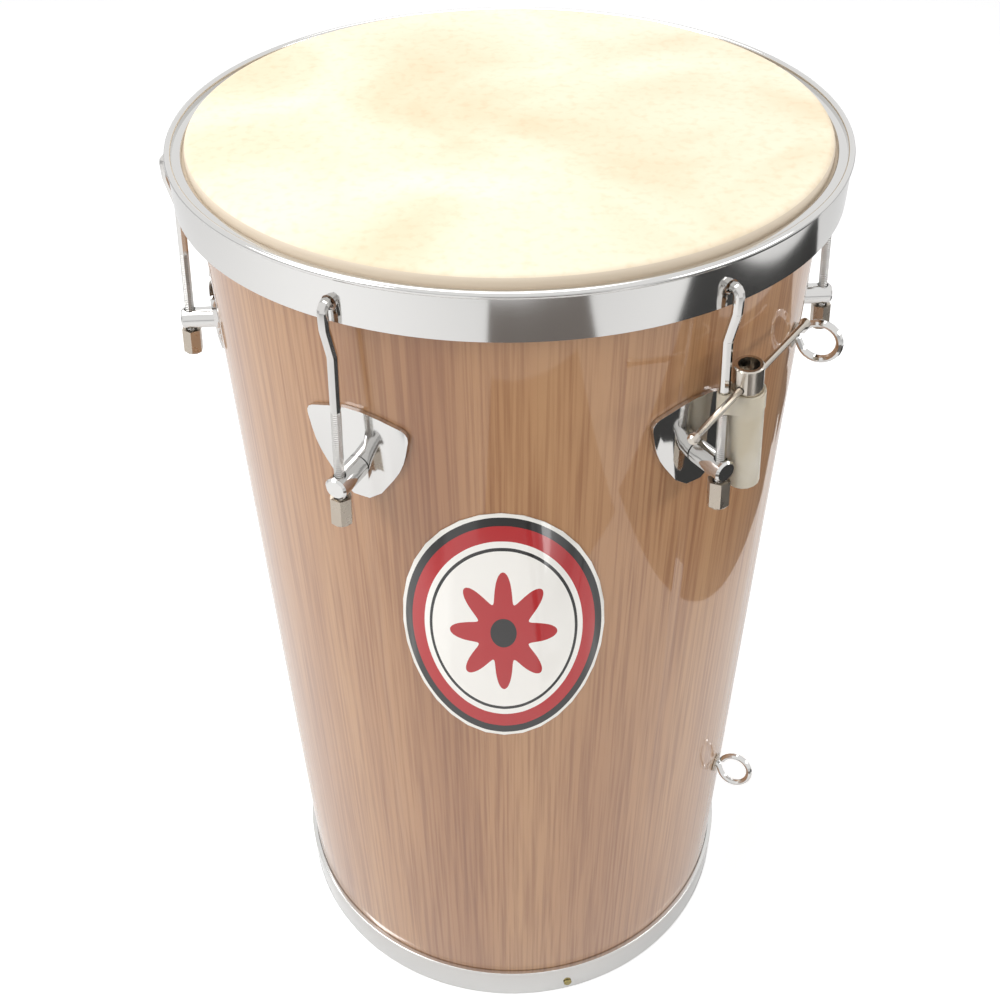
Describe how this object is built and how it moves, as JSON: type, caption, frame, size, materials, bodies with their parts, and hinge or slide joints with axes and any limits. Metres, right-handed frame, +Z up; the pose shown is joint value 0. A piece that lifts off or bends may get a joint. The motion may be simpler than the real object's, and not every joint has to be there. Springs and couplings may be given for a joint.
{
  "type": "rebolo drum",
  "caption": "Single-headed samba hand drum: tapered lacquered wood shell, hide head, chromed tension rim with hooks and lugs, strap eyes and a tuning key in its sleeve.",
  "frame": {"origin": "on the floor under the middle of the bounding box; the drum's axis stands 4.914 mm behind it", "axes": "+Z up along the drum's axis, the badge faces -Y, the tuning key is on the +X side"},
  "size_m": [0.3496, 0.336, 0.5478],
  "materials": {
    "lacquered_veneer": "gloss lacquer",
    "bare_wood": "bare",
    "goat_hide": "natural hide",
    "chromed_steel": "polished",
    "nickelled_steel": "satin",
    "soft_clear_plastic": "translucent",
    "printed_badge": "printed sticker"
  },
  "bodies": {
    "drum_body": {"badge": "printed_badge", "bottom_reinforcing_ring": "bare_wood", "bottom_rim": "chromed_steel", "eye_inner_washer_lower": "nickelled_steel", "eye_inner_washer_upper": "nickelled_steel", "eye_outer_washer_lower": "nickelled_steel", "eye_outer_washer_upper": "nickelled_steel", "lug_bolt_1": "nickelled_steel", "lug_bolt_2": "nickelled_steel", "lug_bolt_3": "nickelled_steel", "lug_bolt_4": "nickelled_steel", "lug_bolt_5": "nickelled_steel", "lug_bolt_6": "nickelled_steel", "lug_plate_1": "chromed_steel", "lug_plate_2": "chromed_steel", "lug_plate_3": "chromed_steel", "lug_plate_4": "chromed_steel", "lug_plate_5": "chromed_steel", "lug_plate_6": "chromed_steel", "lug_post_1": "chromed_steel", "lug_post_2": "chromed_steel", "lug_post_3": "chromed_steel", "lug_post_4": "chromed_steel", "lug_post_5": "chromed_steel", "lug_post_6": "chromed_steel", "lug_washer_1": "nickelled_steel", "lug_washer_2": "nickelled_steel", "lug_washer_3": "nickelled_steel", "lug_washer_4": "nickelled_steel", "lug_washer_5": "nickelled_steel", "lug_washer_6": "nickelled_steel", "rim_screw_1": "nickelled_steel", "rim_screw_2": "nickelled_steel", "rim_screw_3": "nickelled_steel", "shell": "lacquered_veneer", "top_reinforcing_ring": "bare_wood"},
    "tension_hoop": {"tension_rim": "chromed_steel", "flesh_hoop": "chromed_steel", "drum_head": "goat_hide", "key_sleeve": "soft_clear_plastic", "hook_1": "chromed_steel", "hook_2": "chromed_steel", "hook_3": "chromed_steel", "hook_4": "chromed_steel", "hook_5": "chromed_steel", "hook_6": "chromed_steel"},
    "nut_1": {"tuning_nut_1": "nickelled_steel"},
    "nut_2": {"tuning_nut_2": "nickelled_steel"},
    "nut_3": {"tuning_nut_3": "nickelled_steel"},
    "nut_4": {"tuning_nut_4": "nickelled_steel"},
    "nut_5": {"tuning_nut_5": "nickelled_steel"},
    "nut_6": {"tuning_nut_6": "nickelled_steel"},
    "eye_upper": {"strap_eye_upper": "chromed_steel", "eye_nut_upper": "nickelled_steel"},
    "eye_lower": {"strap_eye_lower": "chromed_steel", "eye_nut_lower": "nickelled_steel"},
    "tuning_key": {"tuning_key": "chromed_steel"},
    "tommy_bar": {"tommy_bar": "chromed_steel"}
  },
  "joints": [
    {"name": "hoop_lift", "type": "slide", "parent": "drum_body", "child": "tension_hoop", "axis": [0, 0, 1], "range_m": [0, 0.004]},
    {"name": "nut_1_turn", "type": "hinge", "parent": "drum_body", "child": "nut_1", "pos_m": [-0.07532, -0.14681, 0.43638], "axis": [0.0349, 0.0703, 0.9969], "range_deg": [-1400, 5]},
    {"name": "nut_2_turn", "type": "hinge", "parent": "drum_body", "child": "nut_2", "pos_m": [0.09374, -0.13617, 0.43638], "axis": [-0.0434, 0.0654, 0.9969], "range_deg": [-1400, 5]},
    {"name": "nut_3_turn", "type": "hinge", "parent": "drum_body", "child": "nut_3", "pos_m": [0.16905, 0.01555, 0.43638], "axis": [-0.0783, -0.0049, 0.9969], "range_deg": [-1400, 5]},
    {"name": "nut_4_turn", "type": "hinge", "parent": "drum_body", "child": "nut_4", "pos_m": [0.07532, 0.15664, 0.43638], "axis": [-0.0349, -0.0703, 0.9969], "range_deg": [-1400, 5]},
    {"name": "nut_5_turn", "type": "hinge", "parent": "drum_body", "child": "nut_5", "pos_m": [-0.09374, 0.146, 0.43638], "axis": [0.0434, -0.0654, 0.9969], "range_deg": [-1400, 5]},
    {"name": "nut_6_turn", "type": "hinge", "parent": "drum_body", "child": "nut_6", "pos_m": [-0.16905, -0.00572, 0.43638], "axis": [0.0783, 0.0049, 0.9969], "range_deg": [-1400, 5]},
    {"name": "eye_upper_swivel", "type": "hinge", "parent": "drum_body", "child": "eye_upper", "pos_m": [0.13556, -0.06238, 0.4656], "axis": [0.8957, -0.4446, 0], "continuous": true},
    {"name": "eye_lower_swivel", "type": "hinge", "parent": "drum_body", "child": "eye_lower", "pos_m": [0.13176, -0.06049, 0.1395], "axis": [0.8957, -0.4446, 0], "continuous": true},
    {"name": "key_slide", "type": "slide", "parent": "tension_hoop", "child": "tuning_key", "axis": [-0.0769, -0.0511, 0.9957], "range_m": [0, 0.01]},
    {"name": "bar_slide", "type": "slide", "parent": "tuning_key", "child": "tommy_bar", "axis": [0.6109, 0.7868, 0.0876], "range_m": [-0.041, 0.0345]}
  ],
  "couplings": [
    {"joint": "nut_1_turn", "follows": "hoop_lift", "rad_per_m": -5936.9},
    {"joint": "nut_2_turn", "follows": "hoop_lift", "rad_per_m": -5936.9},
    {"joint": "nut_3_turn", "follows": "hoop_lift", "rad_per_m": -5936.9},
    {"joint": "nut_4_turn", "follows": "hoop_lift", "rad_per_m": -5936.9},
    {"joint": "nut_5_turn", "follows": "hoop_lift", "rad_per_m": -5936.9},
    {"joint": "nut_6_turn", "follows": "hoop_lift", "rad_per_m": -5936.9}
  ]
}
